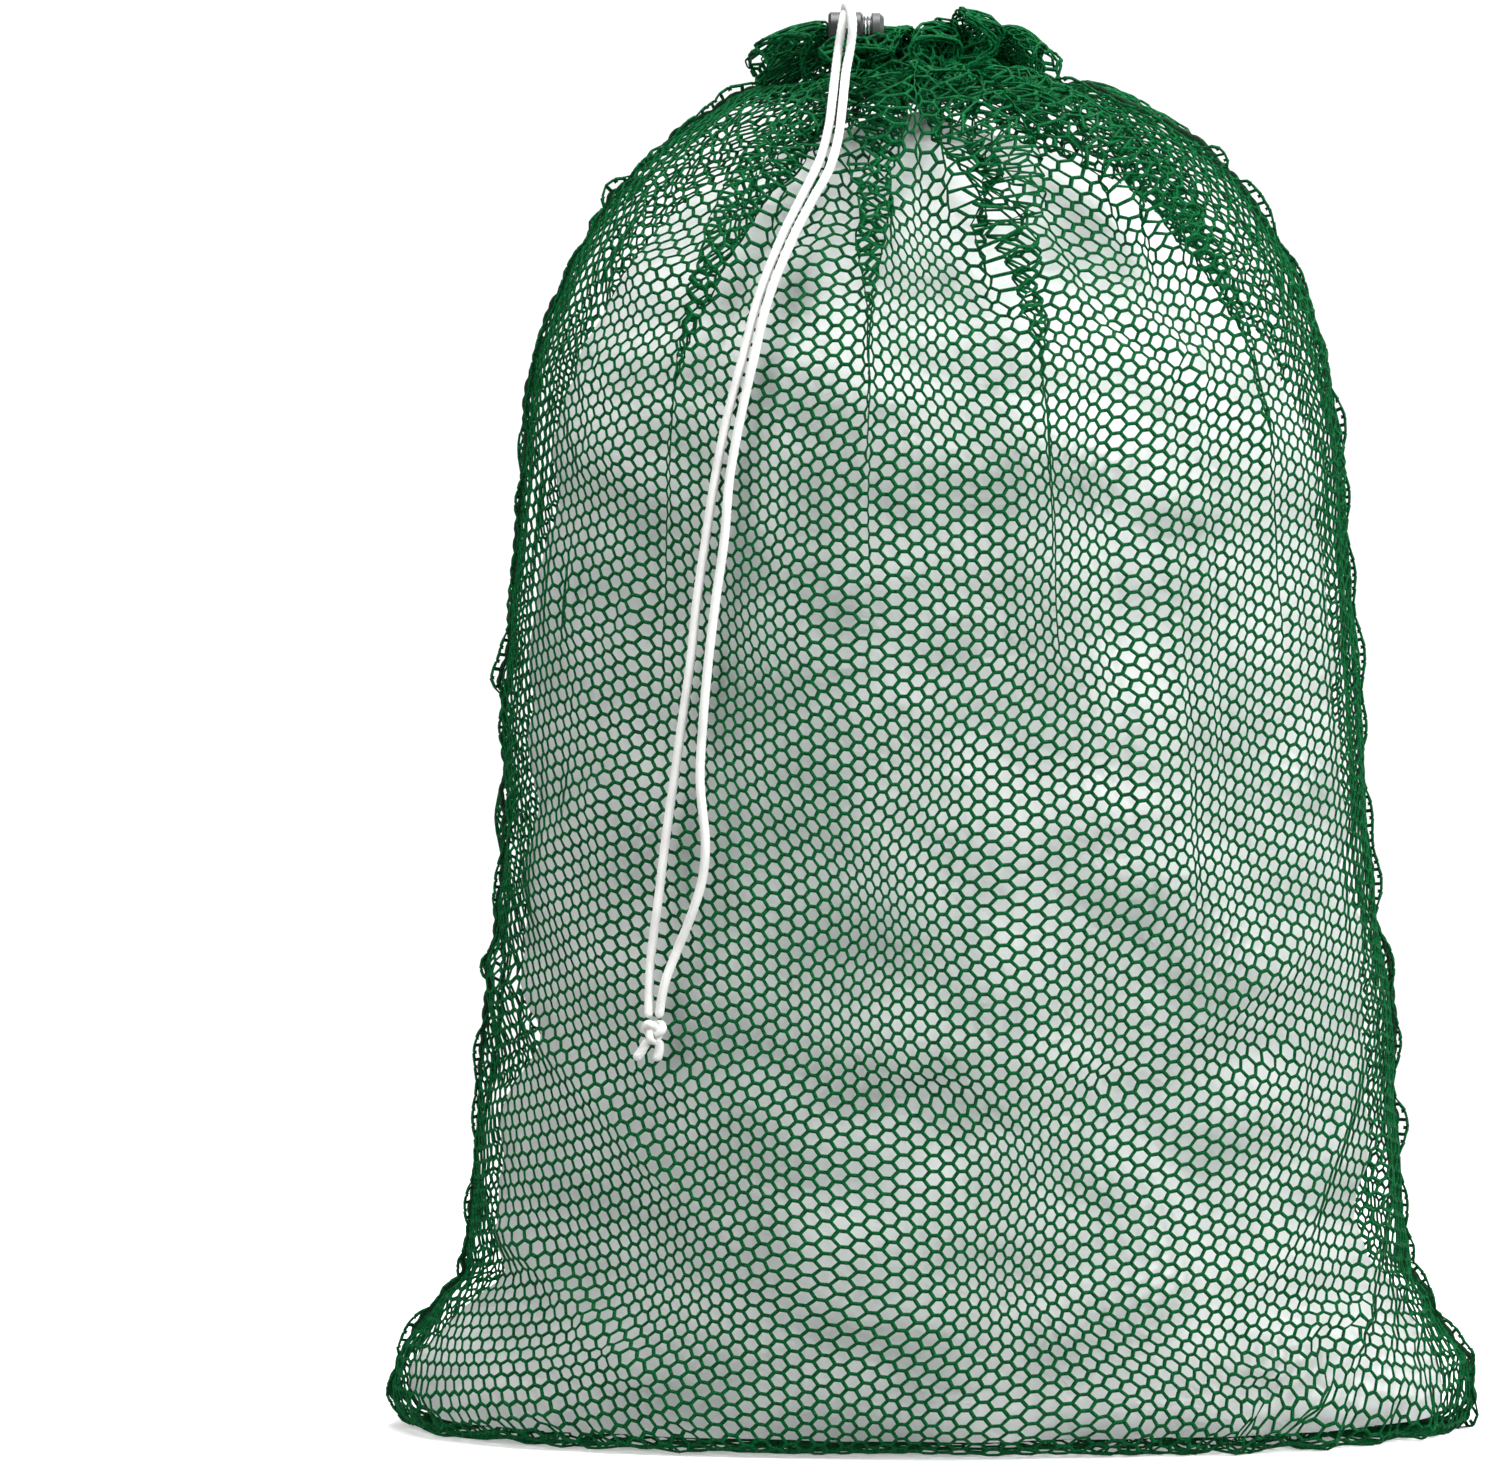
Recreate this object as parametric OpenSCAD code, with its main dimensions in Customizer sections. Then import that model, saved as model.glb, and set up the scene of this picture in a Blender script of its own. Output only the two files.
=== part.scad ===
// Mesh laundry bag, filled and drawn shut: two net panels sewn along the sides and the bottom,
// a casing with a drawstring round the neck, a frill above it, and a sprung cord lock.
// The origin is on the floor under the middle of the bag. +X is to the right, -Y is the front.

/* [Bag] */
// Height from the floor to the top of the shoulders
bag_height = 677; // [564:1:820]
// Width across the two bottom corners
base_width = 552; // [470:2:664]
// Width of the body at half height, between the side seams
body_width = 418; // [350:1:506]
// Depth of the body at half height
body_depth = 292; // [242:1:352]
// How much wider each side gets from half height down to the floor
side_flare = 23; // [0:1:30]
// Share of the depth that is lost at the floor
depth_loss = 0.12; // [0:0.01:0.3]
// Height at which the shoulders start to round over
shoulder_start = 480; // [380:5:540]
// Height of the widest point of the bottom corners
corner_height = 20; // [15:1:40]
// How far up the bottom corners fade into the sides
corner_fade = 45; // [35:1:60]
// Radius of the rounded edge at the floor
floor_round = 20; // [14:1:28]
// Thickness of the net panels
net_wall = 3; // [2:0.5:4]

/* [Seams] */
// Width of the side seam that stands out from the panels
seam_width = 11; // [7:0.5:15]
// Thickness of the side seam
seam_thick = 3; // [2:0.5:5]
// Width of the turned-in bottom seam
hem_width = 12; // [8:1:18]
// Height of the turned-in bottom seam
hem_height = 2.5; // [1.5:0.5:4]
// Diameter of the sewing thread
thread_d = 0.8; // [0.5:0.1:1.2]
// Distance from one stitch to the next
stitch_pitch = 14; // [10:1:20]

/* [Neck] */
// Radius of the drawn neck, to the middle of the casing
neck_radius = 26; // [21.5:0.5:31.5]
// Outer radius of the casing round the drawstring
casing_radius = 5; // [4.5:0.1:6]
// Number of folds gathered in the neck
fold_count = 14; // [10:1:18]
// Width of the frill, left to right
frill_width = 144; // [120:1:172]
// Depth of the frill, front to back
frill_depth = 98; // [82:1:118]
// Height of the frill above the shoulders
frill_rise = 20; // [14:1:24]
// Thickness of the frill
frill_thick = 1.6; // [1.2:0.2:2.4]

/* [Drawstring] */
// Diameter of the cord
cord_d = 4.5; // [3.5:0.1:5.4]
// Room between the cord and what it runs through, all round
cord_clearance = 0.3; // [0.2:0.05:0.6]
// Diameter of the overhand knot
knot_d = 13; // [11:0.5:16]
// Length of the knot
knot_length = 14; // [12:0.5:17]

/* [Cord lock] */
// Outer diameter of the barrel
barrel_d = 18; // [16:0.5:22]
// Length of the barrel
barrel_length = 17; // [16:0.5:21]
// Diameter of the plunger's stem
stem_d = 12; // [11.6:0.1:12.8]
// Play between the stem and the barrel's bore, on the radius
stem_play = 0.1; // [0.05:0.01:0.1]
// Distance that the button can be pressed
button_travel = 2.5; // [2:0.1:3]
// Length of the button
button_length = 7.5; // [6:0.5:9]
// Wire diameter of the spring
spring_wire = 0.6; // [0.5:0.05:0.8]
// Number of turns of the spring
spring_turns = 4; // [3:1:6]
// How far the cord hole points up from level
lock_tilt = 30; // [20:1:40]

/* [Laundry] */
// Gap between the load and the net
load_gap = 1.5; // [1:0.5:4]
// Gap between one bundle and the next
bundle_gap = 2; // [1:0.5:4]
// Radius of the bundles' rounded edges
bundle_round = 18; // [10:1:24]

/* [Hidden] */

net_green = "#17603A";
seam_green = "#0E4A2B";
cord_white = "#E4E4E0";
cotton_white = "#D9DDDA";
lock_black = "#26292A";
button_grey = "#454A48";
steel_grey = "#B4B7BA";

// Rings of the bag, and the heights above and below the shoulders that the neck is built from
half_segments = 20;
casing_rise = 4;
gather_drop = 14;
gather_height = 20;
lock_rise = 15.5;
load_drop = 16;
ring_segments = 2 * half_segments;
mid_height = bag_height / 2;
plain_corner = body_width / 2 + side_flare * (mid_height - corner_height) / mid_height;
corner_out = base_width / 2 - seam_width - plain_corner;
neck_top = neck_radius + casing_radius / 2;

// The bag's outline: half its width and half its depth at each height
function share(z) = max(0, min(1, (z - shoulder_start) / (bag_height - shoulder_start)));
function shoulder(z) = sqrt(1 - pow(share(z), 2.4));
function corner(z) = corner_out * exp(-pow((z - corner_height) / corner_fade, 2));
function side_x(z) = body_width / 2 + side_flare * (mid_height - z) / mid_height + corner(z);
function side_y(z) = body_depth / 2 * (1 - depth_loss * pow((z - mid_height) / mid_height, 2));
function floor_inset(z) =
    z < floor_round ? floor_round * (1 - sqrt(1 - pow(1 - z / floor_round, 2))) : 0;
function half_x(z) = neck_top + (side_x(z) - neck_top) * shoulder(z) - floor_inset(z);
function half_y(z) = neck_top + (side_y(z) - neck_top) * shoulder(z) - floor_inset(z);

// Heights of the rings that the panels are lofted through, closest together at the corners
floor_levels = [for (a = [0:30:90]) floor_round * (1 - cos(a))];
corner_levels = [for (share = [0.25, 0.5, 0.75, 1.05, 1.4, 1.9]) floor_round + share * corner_fade];
wall_foot = floor_round + 1.9 * corner_fade;
wall_step = (shoulder_start - wall_foot) / 6;
wall_levels = [for (i = [1:6]) wall_foot + i * wall_step];
shoulder_levels = [for (a = [15, 29, 42, 54, 64, 72, 79, 84.5, 88.5])
    shoulder_start + (bag_height - shoulder_start) * sin(a)];
levels = concat(floor_levels, corner_levels, wall_levels, shoulder_levels);
seam_levels = [for (z = levels) if (z > floor_round / 10) z];

// Faces between two equal rows of points, and round a whole grid
function strip(a, b, count) = [for (i = [0:count - 2])
    each [[a + i, a + i + 1, b + i + 1], [a + i, b + i + 1, b + i]]];
function turned(faces) = [for (f = faces) [for (k = [len(f) - 1:-1:0]) f[k]]];
function flatten(rows) = [for (r = rows) each r];

// A closed sheet between an outer and an inner grid with the same rows and columns
module sheet(outer, inner) {
    rows = len(outer);
    columns = len(outer[0]);
    shift = rows * columns;
    skin = [for (j = [0:rows - 2]) each strip(j * columns, (j + 1) * columns, columns)];
    lining = turned([for (f = skin) [f[0] + shift, f[1] + shift, f[2] + shift]]);
    low_edge = strip(shift, 0, columns);
    high_edge = turned(strip(2 * shift - columns, shift - columns, columns));
    first_edge = [for (j = [0:rows - 2]) let (p = j * columns, q = p + columns)
        each [[p, q, q + shift], [p, q + shift, p + shift]]];
    last_edge = [for (j = [0:rows - 2]) let (p = (j + 1) * columns - 1, q = p + columns)
        each [[q, p, p + shift], [q, p + shift, q + shift]]];
    polyhedron(flatten(concat(outer, inner)),
        concat(skin, lining, low_edge, high_edge, first_edge, last_edge));
}

// A closed solid through rings of points, each ring a full turn
module loft(rings) {
    count = len(rings[0]);
    last = (len(rings) - 1) * count;
    walls = [for (j = [0:len(rings) - 2]) for (i = [0:count - 1])
        let (a = j * count + i, b = j * count + (i + 1) % count)
        each [[a, b, b + count], [a, b + count, a + count]]];
    bottom = [[for (i = [count - 1:-1:0]) i]];
    top = [[for (i = [0:count - 1]) last + i]];
    polyhedron(flatten(rings), turned(concat(walls, bottom, top)));
}

// One net panel: a half shell that turns under the bag as far as the bottom seam, where its
// edge stops just short of the other panel's
edge_reach = 0.02;
function half_ring(z, inset, face, spread, reach) = [for (i = [0:half_segments])
    let (t = 180 * i / half_segments, x = half_x(z) - inset, y = half_y(z) - inset)
    [x * spread * cos(t), face * y * reach * sin(t), max(z, inset)]];
function panel_rows(inset, face) = concat(
    [for (reach = [edge_reach, 0.5]) half_ring(0, inset, face, 0.93 + 0.07 * reach, reach)],
    [for (z = levels) half_ring(z, inset, face, 1, 1)]);

module panel(face) {
    outer = panel_rows(0, face);
    inner = panel_rows(net_wall, face);
    if (face < 0) sheet(outer, inner);
    else sheet(inner, outer);
}

module front_panel() color(net_green) panel(-1);
module back_panel() color(net_green) panel(1);

// A side seam: a flat band that stands out where the two panels are sewn together, and
// narrows to nothing at the floor and at the neck
neck_margin = 8;
neck_fade = 30;
seam_bite = 1;
function seam_reach(z) = let (x = half_x(z))
    seam_width * min(1, 0.3 + z / floor_round) * min(1, max(0, x - neck_top - neck_margin) / neck_fade);
module side_seam(side) loft([for (z = seam_levels)
    let (foot = side * (half_x(z) - seam_bite), tip = side * (half_x(z) + seam_reach(z)),
         t = side * seam_thick / 2)
    [[foot, -t, z], [tip, -t, z], [tip, t, z], [foot, t, z]]]);

module side_seam_left() color(seam_green) side_seam(-1);
module side_seam_right() color(seam_green) side_seam(1);

// The bottom seam, turned in and lying on the floor of the bag, short of both corners
hem_end_room = 30;
module bottom_seam() color(seam_green)
    translate([0, 0, net_wall + hem_height / 2])
    cube([2 * half_x(0) - hem_end_room, hem_width, hem_height], center = true);

// One stitch in each pitch of a side seam, straight through the band
module seam_stitches(side) {
    from = floor_round + corner_fade;
    for (i = [0:floor((shoulder_start - from) / stitch_pitch)]) let (z = from + i * stitch_pitch)
        translate([side * (half_x(z) + seam_width * 0.55), 0, z])
        rotate([90, 0, 0])
        cylinder(d = thread_d, h = seam_thick + 1, center = true, $fn = 24);
}

module seam_stitching_left() color(seam_green) seam_stitches(-1);
module seam_stitching_right() color(seam_green) seam_stitches(1);

// The casing: a tube round the neck, with a slot where the two ends of the cord come out
casing_z = bag_height + casing_rise;
slot_from = 158;
slot_to = 206;

module casing_ring(r_out, r_in) rotate_extrude($fn = 72)
    translate([neck_radius, 0]) difference() {
        circle(r = r_out, $fn = 32);
        circle(r = r_in, $fn = 32);
    }

module neck_casing() color(net_green) translate([0, 0, casing_z]) difference() {
    casing_ring(casing_radius, cord_d / 2 + cord_clearance);
    rotate([0, 0, slot_from]) rotate_extrude(angle = slot_to - slot_from, $fn = 72)
        translate([neck_radius - casing_radius - 1, -cord_d / 2 - cord_clearance])
        square([2 * casing_radius + 2, 2 * casing_radius]);
}

// The folds of the two panels that are bunched inside the casing and close the mouth
gather_room = 0.8;
fold_depth = 2;
gather_radius = neck_radius - casing_radius - gather_room;
function gather_point(i, count) = let (a = 360 * i / count,
    r = gather_radius - fold_depth * (1 - cos(a * fold_count)))
    [r * cos(a), r * sin(a)];

module neck_gather() color(net_green) translate([0, 0, bag_height - gather_drop])
    linear_extrude(gather_height)
    polygon([for (i = [0:8 * fold_count - 1]) gather_point(i, 8 * fold_count)]);

// The frill above the casing: a flared ring in folds, dipped where the cord lock lies on it
lock_x = -35;
lock_y = -33;
lock_z = bag_height + lock_rise;
hole_x = -41;
nest_radius = 27;
nest_shift = 18;
frill_rows = 6;
frill_columns = 6 * fold_count;
function frill_z(x, y, u, a) =
    let (crest = frill_rise * (sin(min(130, 30 + 115 * u)) - 0.4),
         wave = u * 4 * sin(a * fold_count),
         off = [x - lock_x - 4, max(0, abs(y - lock_y - nest_shift) - nest_shift)],
         nest = exp(-pow(norm(off) / nest_radius, 6)))
    casing_z + 2 + (crest + wave) * (1 - nest) - 2.4 * nest;
function frill_point(j, i) =
    let (u = j / frill_rows, a = 360 * i / frill_columns, r = neck_radius + 4,
         fold = 1 + 0.035 * u * cos(a * fold_count + 60),
         x = (r + (frill_width / 2 - r) * u) * fold * cos(a),
         y = (r + (frill_depth / 2 - r) * u) * fold * sin(a))
    [x, y, frill_z(x, y, u, a)];

module neck_frill() color(net_green) {
    top = [for (j = [0:frill_rows]) [for (i = [0:frill_columns - 1]) frill_point(j, i)]];
    under = [for (j = [frill_rows:-1:0]) [for (p = top[j]) p - [0, 0, frill_thick]]];
    rings = concat(top, under);
    count = frill_columns;
    rows = len(rings);
    polyhedron(flatten(rings), [for (j = [0:rows - 1]) for (i = [0:count - 1])
        let (k = (j + 1) % rows, a = j * count + i, b = j * count + (i + 1) % count,
             c = k * count + (i + 1) % count, d = k * count + i)
        each [[a, b, c], [a, c, d]]]);
}

// Stitches round the foot of the casing, which close it over the cord
stitch_drop = 3.1;
stitch_ring = neck_radius + sqrt(casing_radius * casing_radius - stitch_drop * stitch_drop);
module casing_stitching() color(seam_green) for (a = [0:15:345])
    if (a < slot_from - 6 || a > slot_to + 6)
        translate([stitch_ring * cos(a), stitch_ring * sin(a), casing_z - stitch_drop])
        rotate([90, 0, a])
        cylinder(d = thread_d, h = 4, center = true, $fn = 24);

// The part of the cord that stays inside the casing
module drawstring_loop() color(cord_white) translate([0, 0, casing_z])
    rotate([0, 0, slot_to])
    rotate_extrude(angle = 360 - slot_to + slot_from, $fn = 72)
    translate([neck_radius, 0]) circle(d = cord_d, $fn = 32);

// Routes of the two free strands, from the casing through the lock to the knot
left_route = [[-24.1, 9.7, 681], [-27.5, 4, 683], [-32, -1, 684.3], [-36.5, -7, 684.5],
    [-40, -14, 683.7], [-41, -22, 683.5], [-41, -34, 690.5], [-41, -45, 696.5],
    [-41.2, -49.5, 698], [-41.8, -54, 696.7], [-42.5, -57.5, 693], [-43.5, -59, 687],
    [-45, -60, 677], [-46.5, -66, 665], [-48, -80, 652], [-50, -93, 637], [-54.5, -104, 620],
    [-64, -113, 600], [-73.5, -118.5, 580], [-84, -124, 552], [-91.5, -127, 523],
    [-99, -127.5, 494], [-104.5, -126.5, 466], [-109, -126, 437], [-113, -125.5, 409],
    [-116, -125, 380], [-120, -123.5, 352], [-124, -122.5, 323], [-128, -120.5, 295],
    [-131.5, -119, 266], [-135, -117.5, 239], [-135.8, -118.5, 224], [-136, -120.5, 210]];
right_route = [[-23.4, -11.4, 681], [-24.5, -5.5, 683.5], [-27.8, -2.2, 687.6], [-32.3, -1, 690],
    [-36.8, -2.2, 690.5], [-40.1, -5.5, 690.2], [-41.3, -10, 689], [-41.2, -15.5, 688.2],
    [-41, -20.5, 688.2],
    [-41, -32, 694.5], [-41, -43, 701], [-40.5, -49.5, 702.7], [-39.5, -55.5, 701.3],
    [-38.5, -60, 697.5], [-37.8, -62.8, 690], [-38.8, -62.5, 680], [-41, -65.5, 668],
    [-42.3, -76.5, 656.5], [-43.5, -88.5, 645.5], [-45.5, -100, 631], [-50, -108.5, 615],
    [-58, -114.5, 600], [-68, -120, 580], [-79, -125.5, 552], [-86, -129, 523],
    [-92.5, -130, 494], [-97.5, -129.5, 466], [-100, -130, 437], [-104, -129.5, 409],
    [-107.5, -129, 380], [-110, -128.5, 352], [-111.5, -128, 323], [-109, -129, 295],
    [-110.5, -128.5, 276], [-116.5, -126, 257], [-123, -123, 241], [-128.5, -121.5, 226],
    [-131.2, -121, 210]];
left_tail_route = [[-136.3, -121.5, 200], [-139, -121, 195], [-142.5, -120.5, 190]];
right_tail_route = [[-131.2, -121.5, 200], [-131, -121, 195], [-132.5, -120.5, 189.5]];
knot_place = [-133.5, -121.5, 204];

// A round cord swept along its route, with a ring of points at each point of the route
function heading(p, i) = let (a = p[max(0, i - 1)], b = p[min(len(p) - 1, i + 1)])
    (b - a) / norm(b - a);
function ring_round(p, d, sides) =
    let (s = cross([0, 1, 0.2], d), u = s / norm(s), w = cross(d, u))
    [for (k = [0:sides - 1]) let (a = 360 * k / sides) p + cord_d / 2 * (cos(a) * u + sin(a) * w)];
module cord(p, sides = 10)
    loft([for (i = [0:len(p) - 1]) ring_round(p[i], heading(p, i), sides)]);

module drawstring_left_strand() color(cord_white) cord(left_route);
module drawstring_right_strand() color(cord_white) cord(right_route);
module drawstring_left_tail() color(cord_white) cord(left_tail_route);
module drawstring_right_tail() color(cord_white) cord(right_tail_route);

// The overhand knot that joins the two ends, as one barrel with rounded ends
knot_round = 4;
module drawstring_knot() color(cord_white) translate(knot_place - [0, 0, knot_length / 2])
    rotate_extrude($fn = 48) {
        square([knot_d / 2 - knot_round, knot_length], center = false);
        knot_side();
    }
module knot_side() {
    for (z = [knot_round, knot_length - knot_round]) translate([knot_d / 2 - knot_round, z])
        intersection() {
            circle(r = knot_round, $fn = 32);
            translate([0, -knot_round]) square(2 * knot_round);
        }
    translate([0, knot_round]) square([knot_d / 2, knot_length - 2 * knot_round]);
}

// The cord lock lies along X, its cord hole tilted up towards the front
hole_wall = 3.4;
end_wall = 1.1;
stop_gap = 0.3;
barrel_chamfer = 1.2;
button_chamfer = 2;
barrel_left = hole_x - cord_d / 2 - button_travel - hole_wall;
barrel_right = barrel_left + barrel_length;
stem_left = barrel_left + end_wall;
button_left = barrel_right + button_travel + stop_gap;
hole_left = hole_x - cord_d / 2 - cord_clearance;
hole_height = 2 * (cord_d + cord_clearance) + stop_gap;
hole_reach = cord_d / 2 + cord_clearance;
// The spring sits in a pocket in the barrel and in a deeper one in the button
spring_radius = (stem_d + barrel_d) / 4 - 0.3;
pocket_d = 2 * spring_radius + 1.4;
pocket_depth = 2;
button_pocket_depth = 3;
spring_room = 0.1;
stop_play = 0.2;
button_step = 1;
over = 1;

module at_lock() translate([0, lock_y, lock_z]) rotate([-lock_tilt, 0, 0]) children();

// A turned outline along X, from one end to the other, with chamfered edges
module turned_body(from, length, d, chamfer) translate([from, 0, 0]) rotate([0, 90, 0])
    rotate_extrude($fn = 64) polygon([[0, 0], [d / 2 - chamfer, 0], [d / 2, chamfer],
        [d / 2, length - chamfer], [d / 2 - chamfer, length], [0, length]]);

module drilled(from, to, d) translate([from, 0, 0]) rotate([0, 90, 0])
    cylinder(d = d, h = to - from, $fn = 64);

// A slot through the lock for the two strands, one above the other
module cord_slot(from, to, height) translate([(from + to) / 2, 0, 0])
    cube([to - from, 2 * barrel_d, height], center = true);

module lock_barrel() color(lock_black) at_lock() difference() {
    turned_body(barrel_left, barrel_length, barrel_d, barrel_chamfer);
    drilled(stem_left - stem_play, barrel_right + over, stem_d + 2 * stem_play);
    drilled(barrel_right - pocket_depth, barrel_right + over, pocket_d);
    cord_slot(hole_left, hole_x + hole_reach, hole_height);
}

module lock_button() color(button_grey) at_lock() difference() {
    union() {
        drilled(stem_left + button_travel + stop_play, button_left + over, stem_d);
        difference() {
            turned_body(button_left, button_length, barrel_d - button_step, button_chamfer);
            drilled(button_left - over, button_left + button_pocket_depth, pocket_d);
        }
        drilled(button_left - over, button_left + button_pocket_depth + over, stem_d);
    }
    cord_slot(hole_left, hole_x + hole_reach + button_travel + stop_play, hole_height);
}

// The spring round the stem, which pushes the button out and so grips the cord
module lock_spring() color(steel_grey) at_lock() {
    from = barrel_right - pocket_depth + spring_wire / 2 + spring_room;
    to = button_left + button_pocket_depth - spring_wire / 2 - spring_room;
    steps = 14 * spring_turns;
    rings = [for (i = [0:steps])
        let (a = 360 * i * spring_turns / steps, x = from + (to - from) * i / steps)
        [for (k = [0:5]) let (b = 60 * k, r = spring_radius + spring_wire / 2 * cos(b))
            [x - spring_wire / 2 * sin(b), r * cos(a), r * sin(a)]]];
    loft(rings);
}

// The laundry: soft bundles one above the other, which fill the bag and hold it up
load_floor = net_wall + hem_height + 1;
load_top = bag_height - load_drop;
load_breaks = [0, 0.17, 0.37, 0.57, 0.76, 0.91, 1];
function break_z(k) = load_floor + (load_top - load_floor) * load_breaks[k];
function bundle_ring(z, extra) = let (inset = net_wall + load_gap + extra)
    [for (i = [0:ring_segments - 1]) let (t = 360 * i / ring_segments)
        [(half_x(z) - inset) * cos(t), (half_y(z) - inset) * sin(t), z]];

module bundle(k) {
    low = break_z(k) + bundle_gap / 2;
    high = break_z(k + 1) - bundle_gap / 2;
    r = min(bundle_round, (high - low) / 2.2);
    low_rings = [for (a = [0:30:90]) bundle_ring(low + r * (1 - cos(a)), r * (1 - sin(a)))];
    mid_rings = [for (z = levels) if (z > low + r + 1 && z < high - r - 1) bundle_ring(z, 0)];
    high_rings = [for (a = [90:-30:0]) bundle_ring(high - r * (1 - cos(a)), r * (1 - sin(a)))];
    loft(concat(low_rings, mid_rings, high_rings));
}

module laundry_base() color(cotton_white) bundle(0);
module laundry_lower() color(cotton_white) bundle(1);
module laundry_middle() color(cotton_white) bundle(2);
module laundry_upper() color(cotton_white) bundle(3);
module laundry_shoulder() color(cotton_white) bundle(4);
module laundry_crown() color(cotton_white) bundle(5);

front_panel();
back_panel();
side_seam_left();
side_seam_right();
bottom_seam();
neck_casing();
neck_gather();
neck_frill();
casing_stitching();
seam_stitching_left();
seam_stitching_right();
drawstring_loop();
drawstring_left_strand();
drawstring_right_strand();
drawstring_knot();
drawstring_left_tail();
drawstring_right_tail();
lock_barrel();
lock_button();
lock_spring();
laundry_base();
laundry_lower();
laundry_middle();
laundry_upper();
laundry_shoulder();
laundry_crown();
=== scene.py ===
"""The looks of a filled net laundry bag with a gathered neck, a white drawcord and a cord lock."""
import bpy
import bmesh
import math
import numpy as np
from mathutils import Matrix, Vector, noise


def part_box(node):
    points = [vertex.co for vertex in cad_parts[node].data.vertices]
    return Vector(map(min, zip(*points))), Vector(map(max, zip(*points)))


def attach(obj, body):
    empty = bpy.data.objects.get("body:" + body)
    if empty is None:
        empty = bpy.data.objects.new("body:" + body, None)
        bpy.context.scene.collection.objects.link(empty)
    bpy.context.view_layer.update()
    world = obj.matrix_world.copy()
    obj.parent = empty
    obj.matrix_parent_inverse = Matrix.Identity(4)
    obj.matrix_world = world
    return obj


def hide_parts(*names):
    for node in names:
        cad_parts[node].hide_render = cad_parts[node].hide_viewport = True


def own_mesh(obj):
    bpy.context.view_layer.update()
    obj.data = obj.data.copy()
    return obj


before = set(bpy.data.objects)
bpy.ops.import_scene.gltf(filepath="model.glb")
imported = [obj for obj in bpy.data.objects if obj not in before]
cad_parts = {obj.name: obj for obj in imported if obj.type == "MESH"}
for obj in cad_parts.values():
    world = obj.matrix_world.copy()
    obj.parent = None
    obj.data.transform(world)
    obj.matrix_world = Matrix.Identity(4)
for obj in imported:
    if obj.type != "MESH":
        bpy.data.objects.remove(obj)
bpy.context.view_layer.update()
scene = bpy.context.scene

# ---------------------------------------------------------------- camera
# Level with the middle of the bag, a little to its left, and far enough back to flatten it.
view_width = 0.75
camera_distance = 2.5
camera = bpy.data.objects.new("camera", bpy.data.cameras.new("camera"))
camera.data.angle = 2 * math.atan(view_width / 2 / camera_distance)
camera.location = (-0.0878, -camera_distance, 0.345)
camera.rotation_euler = (math.pi / 2, 0, 0)
scene.collection.objects.link(camera)
scene.camera = camera
scene.view_settings.view_transform = "Standard"


# ---------------------------------------------------------------- drawcord
# The two ends of a round white braided polyester cord. They come out of the neck casing, pass
# through the cord lock, fall over the frill and lie down the front to one overhand knot.
cord_diameter = 0.0045
left_route = [
    (-24.1, 9.7, 681), (-27.5, 4, 683), (-32, -1, 684.3), (-36.5, -7, 684.5), (-40, -14, 683.7),
    (-41, -22, 683.5), (-41, -34, 690.5), (-41, -45, 696.5), (-41.2, -49.5, 698),
    (-41.8, -54, 696.7), (-42.5, -57.5, 693), (-43.5, -59, 687), (-45, -60, 677),
    (-46.5, -66, 665), (-48, -80, 652), (-50, -93, 637), (-54.5, -104, 620), (-64, -113, 600),
    (-73.5, -118.5, 580), (-84, -124, 552), (-91.5, -127, 523), (-99, -127.5, 494),
    (-104.5, -126.5, 466), (-109, -126, 437), (-113, -125.5, 409), (-116, -125, 380),
    (-120, -123.5, 352), (-124, -122.5, 323), (-128, -120.5, 295), (-131.5, -119, 266),
    (-135, -117.5, 239), (-135.8, -118.5, 224), (-136, -120.5, 210)]
right_route = [
    (-23.4, -11.4, 681), (-24.5, -5.5, 683.5), (-27.8, -2.2, 687.6), (-32.3, -1, 690),
    (-36.8, -2.2, 690.5), (-40.1, -5.5, 690.2), (-41.3, -10, 689), (-41.2, -15.5, 688.2),
    (-41, -20.5, 688.2), (-41, -32, 694.5), (-41, -43, 701), (-40.5, -49.5, 702.7),
    (-39.5, -55.5, 701.3), (-38.5, -60, 697.5), (-37.8, -62.8, 690), (-38.8, -62.5, 680),
    (-41, -65.5, 668), (-42.3, -76.5, 656.5), (-43.5, -88.5, 645.5), (-45.5, -100, 631),
    (-50, -108.5, 615), (-58, -114.5, 600), (-68, -120, 580), (-79, -125.5, 552),
    (-86, -129, 523), (-92.5, -130, 494), (-97.5, -129.5, 466), (-100, -130, 437),
    (-104, -129.5, 409), (-107.5, -129, 380), (-110, -128.5, 352), (-111.5, -128, 323),
    (-109, -129, 295), (-110.5, -128.5, 276), (-116.5, -126, 257), (-123, -123, 241),
    (-128.5, -121.5, 226), (-131.2, -121, 210)]
left_tail_route = [(-136.3, -121.5, 200), (-139, -121, 195), (-142.5, -120.5, 190)]
right_tail_route = [(-131.2, -121.5, 200), (-131, -121, 195), (-132.5, -120.5, 189.5)]
knot_centre = (-133.5, -121.5, 204)


def hex_colour(code):
    """An sRGB hex colour as the linear RGBA that a shader takes."""
    parts = [int(code[k:k + 2], 16) / 255 for k in (1, 3, 5)]
    return tuple(p / 12.92 if p <= 0.04045 else ((p + 0.055) / 1.055) ** 2.4 for p in parts) + (1,)


def add_node(tree, kind, values=None, links=None, **settings):
    """One more node in a material, with its settings, its fixed values and its incoming links."""
    node = tree.nodes.new(kind)
    for key, value in settings.items():
        setattr(node, key, value)
    for key, value in (values or {}).items():
        node.inputs[key].default_value = value
    for key, source in (links or {}).items():
        tree.links.new(source, node.inputs[key])
    return node


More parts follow.
